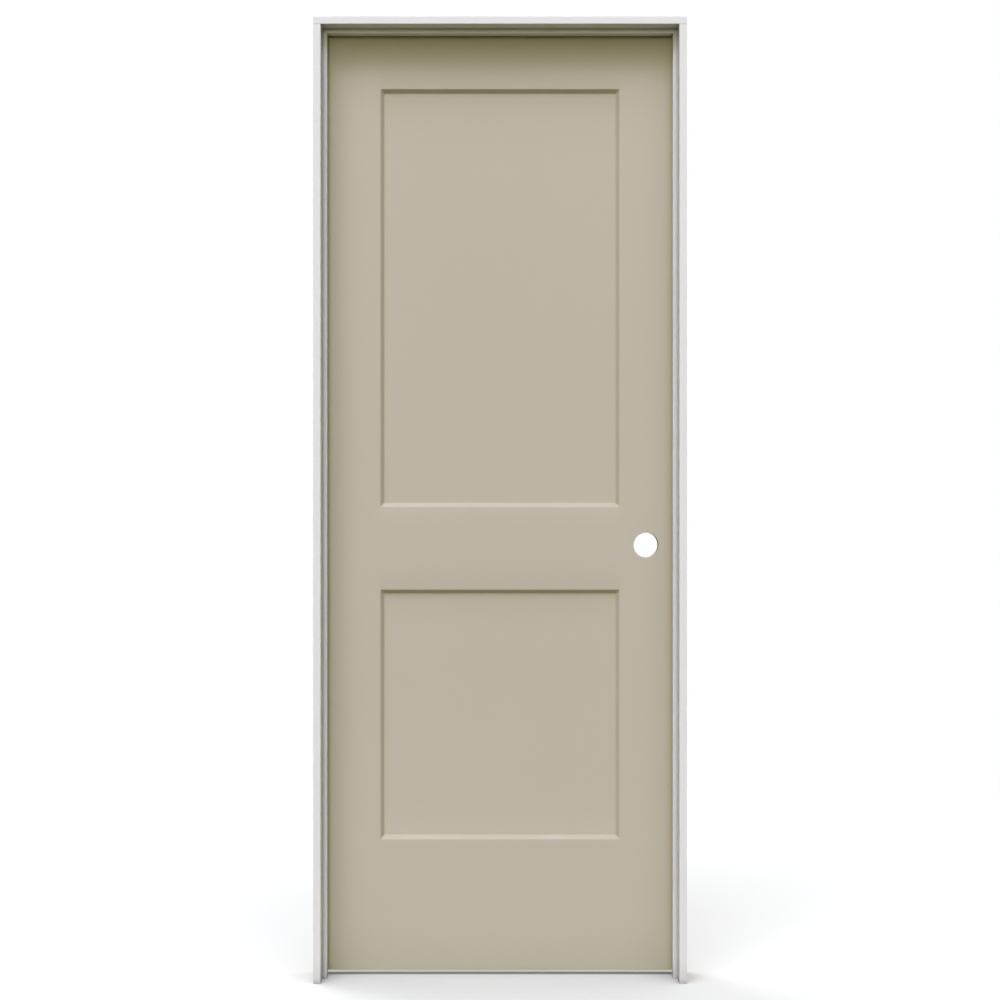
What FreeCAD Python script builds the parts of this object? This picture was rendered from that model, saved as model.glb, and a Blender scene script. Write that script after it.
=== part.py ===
import FreeCAD, Part
import os
import Sketcher
from FreeCAD import Placement, Rotation, Vector

# A prehung interior door: a two-panel moulded slab hung on three butt hinges in a flat jamb.
# +X runs from the hinge jamb to the strike jamb, +Y is the side the door swings to, +Z is up.
# The origin is on the outer face of the hinge jamb, at the floor and at mid depth.

doc = FreeCAD.newDocument("prehung_door")
dims = doc.addObject("Spreadsheet::Sheet", "dims")

sizes = {
    # the slab
    "door_width": 755.5,  # hinge edge to lock edge, on the pull face
    "door_height": 2032,
    "door_thick": 35,
    "lock_bevel": 2,  # how far the lock edge falls back from the pull face to the push face
    # gaps round the closed slab
    "side_gap": 5,
    "head_gap": 5,
    "floor_gap": 11,
    "stop_gap": 5,
    # jambs and stops
    "jamb_thick": 16,
    "jamb_depth": 116,
    "jamb_ease": 1,
    "stop_thick": 9.5,
    "stop_width": 32,
    "stop_round": 2,
    # inside the slab
    "skin_thick": 3.2,
    "stile_wide": 28,
    "rail_high": 28,
    # the moulded panels
    "stile_face": 118,  # slab edge to the panel's outer line
    "top_face": 118,
    "lock_face": 180,  # between the two panels
    "bottom_face": 284,
    "lower_panel": 542,  # height of the lower panel's outer line
    "sticking": 8,  # width of the sloped border
    "panel_depth": 9.5,
    # lock preparation
    "bore_radius": 27,
    "backset": 60.3,
    "bore_height": 923,  # above the slab's bottom edge
    "latch_radius": 12.7,
    "faceplate_wide": 25.4,
    "faceplate_high": 57.2,
    "faceplate_deep": 2.5,
    "plate_corner": 6.35,
    "block_high": 400,
    "block_margin": 4,  # between the lock block and the moulded panel
    "strike_half": 14.3,  # strike gain in front of the latch centre
    "strike_high": 57.2,
    "strike_deep": 1.6,
    "keeper_deep": 12.7,
    # hinges
    "leaf_high": 89,
    "leaf_reach": 38.1,  # pin centre to the leaf's far edge
    "leaf_seat": 29,  # how much of the leaf lies in its gain
    "leaf_thick": 2,
    "leaf_corner": 6.35,
    "gain_clear": 0.2,
    "knuckle_wrap": 1,
    "knuckle_gap": 0.3,
    "notch_clear": 1,
    "pin_radius": 3,
    "pin_clear": 0.05,
    "pin_head_radius": 5,
    "pin_head_high": 2.5,
    "pin_tip": 2,
    "pin_chamfer": 0.8,
    "hinge_drop": 178,  # slab top to the top leaf
    "hinge_rise": 279,  # slab bottom to the bottom leaf
    # hinge screws
    "screw_radius": 2,
    "screw_head": 4,
    "screw_long": 14,
    "screw_point": 4,
    "screw_tip": 0.2,
    "screw_inset": 9.5,  # leaf's far edge to the outer screws
    "screw_stagger": 9.5,
    "screw_end": 16,  # leaf's end to the outer screws
    "screw_clear": 0.1,
}

for row, (alias, number) in enumerate(sizes.items(), start=1):
    dims.set(f"A{row}", alias)
    dims.set(f"B{row}", str(number))
    dims.setAlias(f"B{row}", alias)
doc.recompute()


def size(expression):
    return float(dims.evalExpression(expression))


# Places worked out from the driving sizes, as expressions.
opening = "(dims.door_width + 2 * dims.side_gap)"
frameWidth = f"({opening} + 2 * dims.jamb_thick)"
headUnder = "(dims.floor_gap + dims.door_height + dims.head_gap)"
frameFront = "(-dims.jamb_depth / 2)"
doorX = "(dims.jamb_thick + dims.side_gap)"
doorY = "(dims.jamb_depth / 2 - dims.door_thick)"
doorZ = "dims.floor_gap"
stopY = f"({doorY} - dims.stop_gap - dims.stop_width)"
strikeFace = f"(dims.jamb_thick + {opening})"

coreBack = "(dims.door_thick - dims.skin_thick)"
midThick = "(dims.door_thick / 2)"
lockInner = "(dims.door_width - dims.stile_wide)"
blockWide = "(dims.stile_face - dims.stile_wide - dims.block_margin)"

pinX = "(dims.jamb_thick + dims.side_gap / 2)"
pinY = "(dims.jamb_depth / 2 - dims.leaf_seat + dims.leaf_reach)"
barrel = "(dims.side_gap / 2 + dims.leaf_thick + dims.knuckle_wrap)"
knuckleCount = 5
jambKnuckles = (0, 2, 4)
doorKnuckles = (1, 3)
knuckle = f"((dims.leaf_high - {knuckleCount - 1} * dims.knuckle_gap) / {knuckleCount})"

# Height of each leaf's lower end above the slab's bottom edge.
topLeaf = "(dims.door_height - dims.hinge_drop - dims.leaf_high)"
leafRise = {
    "top": topLeaf,
    "middle": f"((dims.hinge_rise + {topLeaf}) / 2)",
    "bottom": "dims.hinge_rise",
}
# Screw centres on a leaf: distance in from its far edge, and height above its lower end.
screwSpots = [
    ("dims.screw_inset", "dims.screw_end"),
    ("(dims.screw_inset + dims.screw_stagger)", "(dims.leaf_high / 2)"),
    ("dims.screw_inset", "(dims.leaf_high - dims.screw_end)"),
]

nodes = {}


def place(piece, x="0", y="0", z="0", turn=None):
    if turn:
        piece.Placement = Placement(Vector(0, 0, 0), turn)
    for axis, expression in (("x", x), ("y", y), ("z", z)):
        piece.setExpression(f"Placement.Base.{axis}", expression)


def keep(name, piece):
    piece.Label = name
    nodes[name] = piece


def newBody(name, x, y, z):
    body = doc.addObject("PartDesign::Body", name)
    place(body, x, y, z)
    keep(name, body)
    return body


# A sketch on one of the body's own planes, lifted along that plane's normal.
def sketchOn(body, plane, lift="0"):
    sketch = body.newObject("Sketcher::SketchObject", f"{body.Name}_sketch")
    support = [part for part in body.Origin.OriginFeatures if part.Role == plane]
    sketch.AttachmentSupport = [(support[0], "")]
    sketch.MapMode = "FlatFace"
    sketch.setExpression("AttachmentOffset.Base.z", lift)
    return sketch


def pin(sketch, geometry, point, kind, expression):
    index = sketch.addConstraint(Sketcher.Constraint(kind, -1, 1, geometry, point, size(expression)))
    sketch.setExpression(f"Constraints[{index}]", expression)


# A closed outline through corners given as pairs of expressions.
def outline(sketch, corners):
    spots = [Vector(size(x), size(y), 0) for x, y in corners]
    first = sketch.GeometryCount
    count = len(corners)
    for step in range(count):
        sketch.addGeometry(Part.LineSegment(spots[step], spots[(step + 1) % count]), False)
    for step in range(count):
        line = first + step
        following = first + (step + 1) % count
        sketch.addConstraint(Sketcher.Constraint("Coincident", line, 2, following, 1))
        pin(sketch, line, 1, "DistanceX", corners[step][0])
        pin(sketch, line, 1, "DistanceY", corners[step][1])


def rectangle(lowX, lowY, highX, highY):
    return [(lowX, lowY), (highX, lowY), (highX, highY), (lowX, highY)]


def circle(sketch, x, y, radius):
    centre = Vector(size(x), size(y), 0)
    ring = sketch.addGeometry(Part.Circle(centre, Vector(0, 0, 1), size(radius)), False)
    pin(sketch, ring, 3, "DistanceX", x)
    pin(sketch, ring, 3, "DistanceY", y)
    index = sketch.addConstraint(Sketcher.Constraint("Radius", ring, size(radius)))
    sketch.setExpression(f"Constraints[{index}]", radius)


def extrude(kind, body, sketch, length, reverse=False, middle=False):
    feature = body.newObject(kind, f"{body.Name}_{kind.split('::')[1].lower()}")
    feature.Profile = sketch
    feature.setExpression("Length", length)
    feature.Reversed = reverse
    feature.Midplane = middle
    sketch.Visibility = False
    doc.recompute()
    return feature


def pad(body, sketch, length):
    return extrude("PartDesign::Pad", body, sketch, length)


# A pocket runs against the sketch's normal, or along it when reversed, and has to remove something.
leastRemoved = 1.0  # cubic millimetres


def pocket(body, sketch, length, reverse=False, middle=False):
    before = body.Shape.Volume
    feature = extrude("PartDesign::Pocket", body, sketch, length, reverse, middle)
    if before - body.Shape.Volume < leastRemoved:
        raise RuntimeError(f"a pocket in {body.Label} removes nothing")
    return feature


def roundEdges(body, radius, wanted):
    base = body.Tip
    names = [f"Edge{i}" for i, edge in enumerate(base.Shape.Edges, start=1) if wanted(edge)]
    fillet = body.newObject("PartDesign::Fillet", f"{body.Name}_fillet")
    fillet.Base = (base, names)
    fillet.setExpression("Radius", radius)
    doc.recompute()


def alongAxis(edge, axis):
    if len(edge.Vertexes) < 2:
        return False
    run = edge.Vertexes[1].Point - edge.Vertexes[0].Point
    return run.Length > 0 and abs(run.normalize().dot(axis)) > 0.999


def near(a, b):
    return abs(a - b) < 0.01


# A frustum or box with its ends across Y: each end is its Y and a rectangle in X and Z.
def frustum(name, nearY, nearBox, farY, farBox):
    piece = doc.addObject("Part::Wedge", name)
    for key, expression in zip(("Ymin", "Xmin", "Zmin", "Xmax", "Zmax"), (nearY,) + nearBox):
        piece.setExpression(key, expression)
    for key, expression in zip(("Ymax", "X2min", "Z2min", "X2max", "Z2max"), (farY,) + farBox):
        piece.setExpression(key, expression)
    return piece


def joined(name, pieces):
    whole = doc.addObject("Part::MultiFuse", name)
    whole.Shapes = pieces
    return whole


def cutAway(name, base, tools):
    result = doc.addObject("Part::Cut", name)
    result.Base = base
    result.Tool = joined(f"{name}_tools", tools) if len(tools) > 1 else tools[0]
    return result


# Gains: the shallow seats for the three leaves, open at the pull side.
# slabBottom is the height of the slab's bottom edge in the piece's own frame.
def gainBand(rise, slabBottom):
    low = f"({slabBottom} + {rise} - dims.gain_clear)"
    high = f"({slabBottom} + {rise} + dims.leaf_high + dims.gain_clear)"
    return low, high


def cutGains(body, face, pullSide, slabBottom, reverse):
    seatEnd = f"({pullSide} - dims.leaf_seat - dims.gain_clear)"
    beyond = f"({pullSide} + dims.leaf_seat)"
    sketch = sketchOn(body, "YZ_Plane", face)
    for rise in leafRise.values():
        low, high = gainBand(rise, slabBottom)
        outline(sketch, rectangle(seatEnd, low, beyond, high))
    pocket(body, sketch, "dims.leaf_thick", reverse)
    seatLine = size(seatEnd)
    roundEdges(body, "dims.leaf_corner + dims.gain_clear", lambda edge: (
        alongAxis(edge, Vector(1, 0, 0)) and near(edge.Vertexes[0].Y, seatLine)))
    pilots = sketchOn(body, "YZ_Plane", face)
    for rise in leafRise.values():
        for inset, height in screwSpots:
            across = f"({pullSide} - dims.leaf_seat + {inset})"
            up = f"({slabBottom} + {rise} + {height})"
            circle(pilots, across, up, "dims.screw_radius + dims.screw_clear")
    pocket(body, pilots, "dims.screw_long + dims.screw_clear", reverse)


def easeLong(body, radius, axis, wanted=lambda edge: True):
    roundEdges(body, radius, lambda edge: alongAxis(edge, axis) and wanted(edge))


def hingeJamb():
    body = newBody("hinge_jamb", "0", frameFront, "0")
    profile = sketchOn(body, "XY_Plane")
    outline(profile, rectangle("0", "0", "dims.jamb_thick", "dims.jamb_depth"))
    pad(body, profile, headUnder)
    easeLong(body, "dims.jamb_ease", Vector(0, 0, 1))
    cutGains(body, "dims.jamb_thick", "dims.jamb_depth", "dims.floor_gap", False)


def strikeJamb():
    body = newBody("strike_jamb", strikeFace, frameFront, "0")
    profile = sketchOn(body, "XY_Plane")
    outline(profile, rectangle("0", "0", "dims.jamb_thick", "dims.jamb_depth"))
    pad(body, profile, headUnder)
    easeLong(body, "dims.jamb_ease", Vector(0, 0, 1))
    latchY = f"(dims.jamb_depth - {midThick})"
    latchZ = "(dims.floor_gap + dims.bore_height)"
    low = f"({latchZ} - dims.strike_high / 2)"
    high = f"({latchZ} + dims.strike_high / 2)"
    seatEnd = f"({latchY} - dims.strike_half)"
    gain = sketchOn(body, "YZ_Plane")
    outline(gain, rectangle(seatEnd, low, "(2 * dims.jamb_depth)", high))
    pocket(body, gain, "dims.strike_deep", True)
    seatLine = size(seatEnd)
    roundEdges(body, "dims.plate_corner", lambda edge: (
        alongAxis(edge, Vector(1, 0, 0)) and near(edge.Vertexes[0].Y, seatLine)))
    keeper = sketchOn(body, "YZ_Plane")
    circle(keeper, latchY, latchZ, "dims.latch_radius")
    pocket(body, keeper, "dims.keeper_deep", True)


# The head lies on the ends of both legs.
def headJamb():
    body = newBody("head_jamb", "0", frameFront, headUnder)
    profile = sketchOn(body, "YZ_Plane")
    outline(profile, rectangle("0", "0", "dims.jamb_depth", "dims.jamb_thick"))
    pad(body, profile, frameWidth)
    easeLong(body, "dims.jamb_ease", Vector(1, 0, 0))


def sideStop(name, x, roomSide):
    body = newBody(name, x, stopY, "0")
    profile = sketchOn(body, "XY_Plane")
    outline(profile, rectangle("0", "0", "dims.stop_thick", "dims.stop_width"))
    pad(body, profile, f"{headUnder} - dims.stop_thick")
    roomLine = size(roomSide)
    easeLong(body, "dims.stop_round", Vector(0, 0, 1), lambda edge: near(edge.Vertexes[0].X, roomLine))


def headStop():
    body = newBody("head_stop", "dims.jamb_thick", stopY, f"{headUnder} - dims.stop_thick")
    profile = sketchOn(body, "YZ_Plane")
    outline(profile, rectangle("0", "0", "dims.stop_width", "dims.stop_thick"))
    pad(body, profile, opening)
    easeLong(body, "dims.stop_round", Vector(1, 0, 0), lambda edge: near(edge.Vertexes[0].Z, 0))


# X of the bevelled lock edge at a depth behind the push face.
def lockEdge(depth):
    return f"(dims.door_width - dims.lock_bevel * (1 - {depth} / dims.door_thick))"


def hingeStile():
    body = newBody("hinge_stile", doorX, doorY, doorZ)
    profile = sketchOn(body, "XY_Plane")
    outline(profile, rectangle("0", "dims.skin_thick", "dims.stile_wide", coreBack))
    pad(body, profile, "dims.door_height")
    cutGains(body, "0", "dims.door_thick", "0", True)


def lockStile():
    body = newBody("lock_stile", doorX, doorY, doorZ)
    profile = sketchOn(body, "XY_Plane")
    outline(profile, [
        (lockInner, "dims.skin_thick"),
        (lockEdge("dims.skin_thick"), "dims.skin_thick"),
        (lockEdge(coreBack), coreBack),
        (lockInner, coreBack),
    ])
    pad(body, profile, "dims.door_height")
    mortise = sketchOn(body, "YZ_Plane", "dims.door_width - dims.faceplate_deep")
    outline(mortise, rectangle(
        f"({midThick} - dims.faceplate_wide / 2)",
        "(dims.bore_height - dims.faceplate_high / 2)",
        f"({midThick} + dims.faceplate_wide / 2)",
        "(dims.bore_height + dims.faceplate_high / 2)"))
    pocket(body, mortise, "2 * dims.faceplate_deep", True)
    floor = size("dims.door_width - dims.faceplate_deep")
    roundEdges(body, "dims.plate_corner", lambda edge: (
        alongAxis(edge, Vector(1, 0, 0))
        and near(min(edge.Vertexes[0].X, edge.Vertexes[1].X), floor)))
    latch = sketchOn(body, "YZ_Plane", "dims.door_width")
    circle(latch, midThick, "dims.bore_height", "dims.latch_radius")
    pocket(body, latch, "2 * dims.stile_wide")


def rail(name, low, high):
    body = newBody(name, doorX, doorY, doorZ)
    profile = sketchOn(body, "YZ_Plane", "dims.stile_wide")
    outline(profile, rectangle("dims.skin_thick", low, coreBack, high))
    pad(body, profile, f"{lockInner} - dims.stile_wide")


blockBox = (
    f"({lockInner} - {blockWide})",
    "(dims.bore_height - dims.block_high / 2)",
    lockInner,
    "(dims.bore_height + dims.block_high / 2)",
)
boreX = "(dims.door_width - dims.backset)"


def lockBlock():
    body = newBody("lock_block", doorX, doorY, doorZ)
    profile = sketchOn(body, "XZ_Plane", "-dims.skin_thick")
    outline(profile, rectangle(*blockBox))
    block = pad(body, profile, f"{coreBack} - dims.skin_thick")
    block.Reversed = True
    doc.recompute()
    cross = sketchOn(body, "XZ_Plane")
    circle(cross, boreX, "dims.bore_height", "dims.bore_radius")
    pocket(body, cross, "dims.door_thick")
    latch = sketchOn(body, "YZ_Plane", lockInner)
    circle(latch, midThick, "dims.bore_height", "dims.latch_radius")
    pocket(body, latch, "dims.backset - dims.stile_wide")


# The two moulded panels, as rectangles in X and Z, grown outwards by an amount.
def panelBoxes(grow):
    left = f"(dims.stile_face - {grow})"
    right = f"(dims.door_width - dims.stile_face + {grow})"
    lowerTop = "(dims.bottom_face + dims.lower_panel)"
    return {
        "lower": (left, f"(dims.bottom_face - {grow})", right, f"({lowerTop} + {grow})"),
        "upper": (
            left,
            f"({lowerTop} + dims.lock_face - {grow})",
            right,
            f"(dims.door_height - dims.top_face + {grow})",
        ),
    }


# The back of the moulding runs parallel to its front, so it starts this much outside the outer line.
slopeRun = "sqrt(dims.sticking * dims.sticking + dims.panel_depth * dims.panel_depth)"
trayLap = f"(dims.skin_thick * ({slopeRun} - dims.sticking) / dims.panel_depth)"


# Frusta of both panels from the skin's face, or its back, to the floor of the recess.
def panelForms(name, face, inward, lap, start):
    rim = panelBoxes(lap)
    floor = panelBoxes(f"({lap} - dims.sticking)")
    rimY = f"({face} + {inward} * {start})"
    floorY = f"({face} + {inward} * ({start} + dims.panel_depth))"
    forms = []
    for which in rim:
        label = f"{name}_{which}"
        if inward == 1:
            forms.append(frustum(label, rimY, rim[which], floorY, floor[which]))
        else:
            forms.append(frustum(label, floorY, floor[which], rimY, rim[which]))
    return forms


def boreTool(name):
    tool = doc.addObject("Part::Cylinder", name)
    tool.setExpression("Radius", "dims.bore_radius")
    tool.setExpression("Height", "3 * dims.door_thick")
    place(tool, boreX, "-dims.door_thick", "dims.bore_height", Rotation(Vector(1, 0, 0), -90))
    return tool


def gainTool(name, rise):
    low, high = gainBand(rise, "0")
    reach = "dims.leaf_thick"
    box = (f"(-{reach})", low, reach, high)
    return frustum(name, midThick, box, "2 * dims.door_thick", box)


def skin(name, face, inward):
    back = f"({face} + {inward} * dims.skin_thick)"
    nearY, farY = (face, back) if inward == 1 else (back, face)
    nearBox = ("0", "0", lockEdge(nearY), "dims.door_height")
    farBox = ("0", "0", lockEdge(farY), "dims.door_height")
    sheet = frustum(f"{name}_sheet", nearY, nearBox, farY, farBox)
    trays = panelForms(f"{name}_tray", face, inward, trayLap, "dims.skin_thick")
    moulded = joined(f"{name}_moulded", [sheet] + trays)
    tools = panelForms(f"{name}_recess", face, inward, "0", "0")
    tools.append(boreTool(f"{name}_bore"))
    if inward == -1:
        tools += [gainTool(f"{name}_gain_{which}", rise) for which, rise in leafRise.items()]
    piece = cutAway(name, moulded, tools)
    place(piece, doorX, doorY, doorZ)
    keep(name, piece)


def core():
    box = ("dims.stile_wide", "dims.rail_high", lockInner, "(dims.door_height - dims.rail_high)")
    filling = frustum("core_filling", "dims.skin_thick", box, coreBack, box)
    tools = panelForms("core_push", "0", 1, trayLap, "dims.skin_thick")
    tools += panelForms("core_pull", "dims.door_thick", -1, trayLap, "dims.skin_thick")
    tools.append(frustum("core_block", "0", blockBox, "dims.door_thick", blockBox))
    piece = cutAway("door_core", filling, tools)
    place(piece, doorX, doorY, doorZ)
    keep("door_core", piece)


# A leaf in its own frame: the pin centre at the leaf's lower end.
# side is -1 for the jamb's leaf and 1 for the slab's, own lists the knuckles that it carries.
def leaf(name, side, own, rise):
    body = newBody(name, pinX, pinY, f"{doorZ} + {rise}")
    shut = "dims.side_gap / 2"
    plateLow = f"-{shut} - dims.leaf_thick" if side < 0 else shut
    plate = sketchOn(body, "YZ_Plane", plateLow)
    outline(plate, rectangle("-dims.leaf_reach", "0", "0", "dims.leaf_high"))
    pad(body, plate, "dims.leaf_thick")
    reach = size("-dims.leaf_reach")
    roundEdges(body, "dims.leaf_corner", lambda edge: (
        alongAxis(edge, Vector(1, 0, 0)) and near(edge.Vertexes[0].Y, reach)))
    ring = sketchOn(body, "XY_Plane")
    circle(ring, "0", "0", barrel)
    pad(body, ring, "dims.leaf_high")
    notches = sketchOn(body, "YZ_Plane")
    for index in range(knuckleCount):
        if index in own:
            continue
        low = f"({index} * ({knuckle} + dims.knuckle_gap) - dims.knuckle_gap)"
        high = f"({low} + {knuckle} + 2 * dims.knuckle_gap)"
        outline(notches, rectangle(f"(-{barrel} - dims.notch_clear)", low, f"(2 * {barrel})", high))
    pocket(body, notches, f"4 * {barrel}", middle=True)
    hole = sketchOn(body, "XY_Plane")
    circle(hole, "0", "0", "dims.pin_radius + dims.pin_clear")
    pocket(body, hole, "3 * dims.leaf_high", middle=True)
    for inset, height in screwSpots:
        sink = body.newObject("PartDesign::SubtractiveCone", f"{name}_sink")
        sink.setExpression("Radius1", "dims.screw_head + dims.screw_clear")
        sink.setExpression("Radius2", "dims.screw_radius + dims.screw_clear")
        sink.setExpression("Height", "dims.leaf_thick")
        faceX = f"{side} * {shut}"
        place(sink, faceX, f"{inset} - dims.leaf_reach", height, Rotation(Vector(0, 1, 0), 90 * side))
        doc.recompute()


def hingePin(name, rise):
    body = newBody(name, pinX, pinY, f"{doorZ} + {rise}")
    profile = sketchOn(body, "XZ_Plane")
    top = "(dims.leaf_high + dims.pin_head_high)"
    outline(profile, [
        ("0", "-dims.pin_tip"),
        ("(dims.pin_radius - dims.pin_chamfer)", "-dims.pin_tip"),
        ("dims.pin_radius", "(dims.pin_chamfer - dims.pin_tip)"),
        ("dims.pin_radius", "dims.leaf_high"),
        ("dims.pin_head_radius", "dims.leaf_high"),
        ("dims.pin_head_radius", f"({top} - dims.pin_chamfer)"),
        ("(dims.pin_head_radius - dims.pin_chamfer)", top),
        ("0", top),
    ])
    spun = body.newObject("PartDesign::Revolution", f"{name}_turned")
    spun.Profile = profile
    spun.ReferenceAxis = (profile, ["V_Axis"])
    spun.Angle = 360
    doc.recompute()


# Three countersunk screws of one leaf: head flush with the leaf, point in the wood.
def screws(name, side, rise):
    trio = []
    for number, (inset, height) in enumerate(screwSpots, start=1):
        head = doc.addObject("Part::Cone", f"{name}_head_{number}")
        head.setExpression("Radius1", "dims.screw_head")
        head.setExpression("Radius2", "dims.screw_radius")
        head.setExpression("Height", "dims.leaf_thick")
        shank = doc.addObject("Part::Cylinder", f"{name}_shank_{number}")
        shank.setExpression("Radius", "dims.screw_radius")
        shank.setExpression("Height", "dims.screw_long - dims.screw_point - dims.leaf_thick")
        place(shank, z="dims.leaf_thick")
        point = doc.addObject("Part::Cone", f"{name}_point_{number}")
        point.setExpression("Radius1", "dims.screw_radius")
        point.setExpression("Radius2", "dims.screw_tip")
        point.setExpression("Height", "dims.screw_point")
        place(point, z="dims.screw_long - dims.screw_point")
        screw = joined(f"{name}_{number}", [head, shank, point])
        place(
            screw,
            f"{pinX} + {side} * dims.side_gap / 2",
            f"{pinY} - dims.leaf_reach + {inset}",
            f"{doorZ} + {rise} + {height}",
            Rotation(Vector(0, 1, 0), 90 * side))
        trio.append(screw)
    together = doc.addObject("Part::Compound", name)
    together.Links = trio
    place(together)
    keep(name, together)


hingeJamb()
strikeJamb()
headJamb()
sideStop("hinge_stop", "dims.jamb_thick", "dims.stop_thick")
sideStop("strike_stop", f"{strikeFace} - dims.stop_thick", "0")
headStop()
skin("push_side_skin", "0", 1)
skin("pull_side_skin", "dims.door_thick", -1)
hingeStile()
lockStile()
rail("top_rail", "(dims.door_height - dims.rail_high)", "dims.door_height")
rail("bottom_rail", "0", "dims.rail_high")
lockBlock()
core()
for which, rise in leafRise.items():
    leaf(f"jamb_leaf_{which}", -1, jambKnuckles, rise)
    leaf(f"door_leaf_{which}", 1, doorKnuckles, rise)
    hingePin(f"hinge_pin_{which}", rise)
    screws(f"jamb_leaf_screws_{which}", -1, rise)
    screws(f"door_leaf_screws_{which}", 1, rise)

doc.recompute()

for thing in doc.Objects:
    if "Invalid" in thing.State or "Error" in thing.State:
        raise RuntimeError(f"{thing.Name} is not computed: {thing.State}")
for name, piece in nodes.items():
    if piece.Shape.isNull() or not piece.Shape.isValid():
        raise RuntimeError(f"{name} has no valid shape")

os.makedirs("parts", exist_ok=True)
for name, piece in nodes.items():
    piece.Shape.exportStep(f"parts/{name}.step")
    box = piece.Shape.BoundBox
    print(f"{name}: {len(piece.Shape.Solids)} solid, {piece.Shape.Volume / 1000:.2f} cm3,",
          f"x {box.XMin:.1f} {box.XMax:.1f}, y {box.YMin:.1f} {box.YMax:.1f}, z {box.ZMin:.1f} {box.ZMax:.1f}")
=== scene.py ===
import math

import bmesh
import bpy
import numpy as np
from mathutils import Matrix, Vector


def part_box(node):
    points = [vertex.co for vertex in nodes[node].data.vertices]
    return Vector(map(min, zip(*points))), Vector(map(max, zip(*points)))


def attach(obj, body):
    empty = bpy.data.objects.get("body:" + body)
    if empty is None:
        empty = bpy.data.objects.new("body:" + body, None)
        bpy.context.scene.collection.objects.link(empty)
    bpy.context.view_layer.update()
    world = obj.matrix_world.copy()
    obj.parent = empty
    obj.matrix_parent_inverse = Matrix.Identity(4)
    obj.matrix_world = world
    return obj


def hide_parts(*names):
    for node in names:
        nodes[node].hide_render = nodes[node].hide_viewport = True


scene = bpy.context.scene
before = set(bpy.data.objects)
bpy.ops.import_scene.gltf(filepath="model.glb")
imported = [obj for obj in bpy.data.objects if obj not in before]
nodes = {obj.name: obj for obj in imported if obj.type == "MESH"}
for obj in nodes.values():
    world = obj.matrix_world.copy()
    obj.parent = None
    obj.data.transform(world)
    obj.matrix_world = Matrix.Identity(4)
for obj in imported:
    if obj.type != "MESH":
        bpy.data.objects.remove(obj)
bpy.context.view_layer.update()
print("frame loaded:", len(nodes), "nodes")


def addObject(name, data):
    thing = bpy.data.objects.new(name, data)
    scene.collection.objects.link(thing)
    return thing


# the camera looks level and square at the door, at half its height
camera = {
    "place": (0.39875, -4.393, 1.032),  # middle of the unit, metres
    "lens": 73.15,
    "sensor": 36.0,
    "farthest": 200.0,
}

cameraData = bpy.data.cameras.new("camera")
cameraData.lens = camera["lens"]
cameraData.sensor_width = camera["sensor"]
cameraData.clip_end = camera["farthest"]
cameraObject = addObject("camera", cameraData)
cameraObject.location = camera["place"]
cameraObject.rotation_euler = (math.pi / 2, 0.0, 0.0)
bpy.context.scene.camera = cameraObject
scene.view_settings.view_transform = "Standard"
print("camera placed")


# helpers for meshes
def meshObject(name, points, faces, materials, faceSlots=None, smoothAngle=40.0):
    # points and faces into a new object; edges sharper than smoothAngle, in degrees, stay sharp
    mesh = bpy.data.meshes.new(name)
    mesh.from_pydata(points.tolist(), [], faces)
    for material in materials:
        mesh.materials.append(material)
    if faceSlots is not None:
        mesh.polygons.foreach_set("material_index", faceSlots)
    mesh.shade_smooth()
    mesh.set_sharp_from_angle(angle=math.radians(smoothAngle))
    mesh.update()
    return addObject(name, mesh)


def compact(points, faces):
    # drops the points that no face uses and renumbers the rest
    used = np.unique(faces)
    places = np.zeros(len(points), int)
    places[used] = np.arange(len(used))
    return points[used], places[faces]


def ringFaces(first, second):
    # quads between two closed loops of point numbers of the same length
    return np.stack([first, np.roll(first, -1), np.roll(second, -1), second], axis=1)


def squareLoop(numbers):
    # the border of a block of point numbers, once round, counter-clockwise in (first, second) axes
    return np.concatenate(
        [numbers[:-1, 0], numbers[-1, :-1], numbers[:0:-1, -1], numbers[0, :0:-1]]
    )


def gridCells(numbers):
    # the four corners of every cell in a block of point numbers
    return [numbers[:-1, :-1], numbers[1:, :-1], numbers[1:, 1:], numbers[:-1, 1:]]


def roundAngles(loop):
    # one angle for each point of a square's border, so that it can turn into a circle
    return -0.75 * math.pi + np.arange(len(loop)) * 2.0 * math.pi / len(loop)


def lathe(radii, heights, segments):
    # profile (radius, height) turned round an axis; the first and last points are poles on it
    angles = np.linspace(0.0, 2.0 * math.pi, segments, endpoint=False)
    ringRadii = np.array(radii[1:-1])[:, None]
    ringHeights = np.array(heights[1:-1])[:, None] + 0.0 * angles
    rings = np.stack([ringRadii * np.cos(angles), ringRadii * np.sin(angles), ringHeights], axis=2)
    poles = np.array([(0.0, 0.0, heights[0]), (0.0, 0.0, heights[-1])])
    points = np.concatenate([poles[:1], rings.reshape(-1, 3), poles[1:]])
    count = len(radii) - 2
    numbers = 1 + np.arange(count * segments).reshape(count, segments)
    faces = []
    for lower, upper in zip(numbers[:-1], numbers[1:]):
        faces += ringFaces(lower, upper).tolist()
    start = np.full(segments, 0)
    end = np.full(segments, len(points) - 1)
    faces += np.stack([start, np.roll(numbers[0], -1), numbers[0]], axis=1).tolist()
    faces += np.stack([end, numbers[-1], np.roll(numbers[-1], -1)], axis=1).tolist()
    return points, faces


# helpers for shader trees
def fillInputs(tree, made, values):
    # a node's inputs by name or number, plain values or another node's output
    for key, value in values.items():
        if isinstance(value, bpy.types.NodeSocket):
            tree.links.new(value, made.inputs[key])
        else:
            made.inputs[key].default_value = value


def addNode(tree, kind, values=None, **settings):
    made = tree.nodes.new("ShaderNode" + kind)
    for key, value in settings.items():
        setattr(made, key, value)
    fillInputs(tree, made, values or {})
    return made


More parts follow.
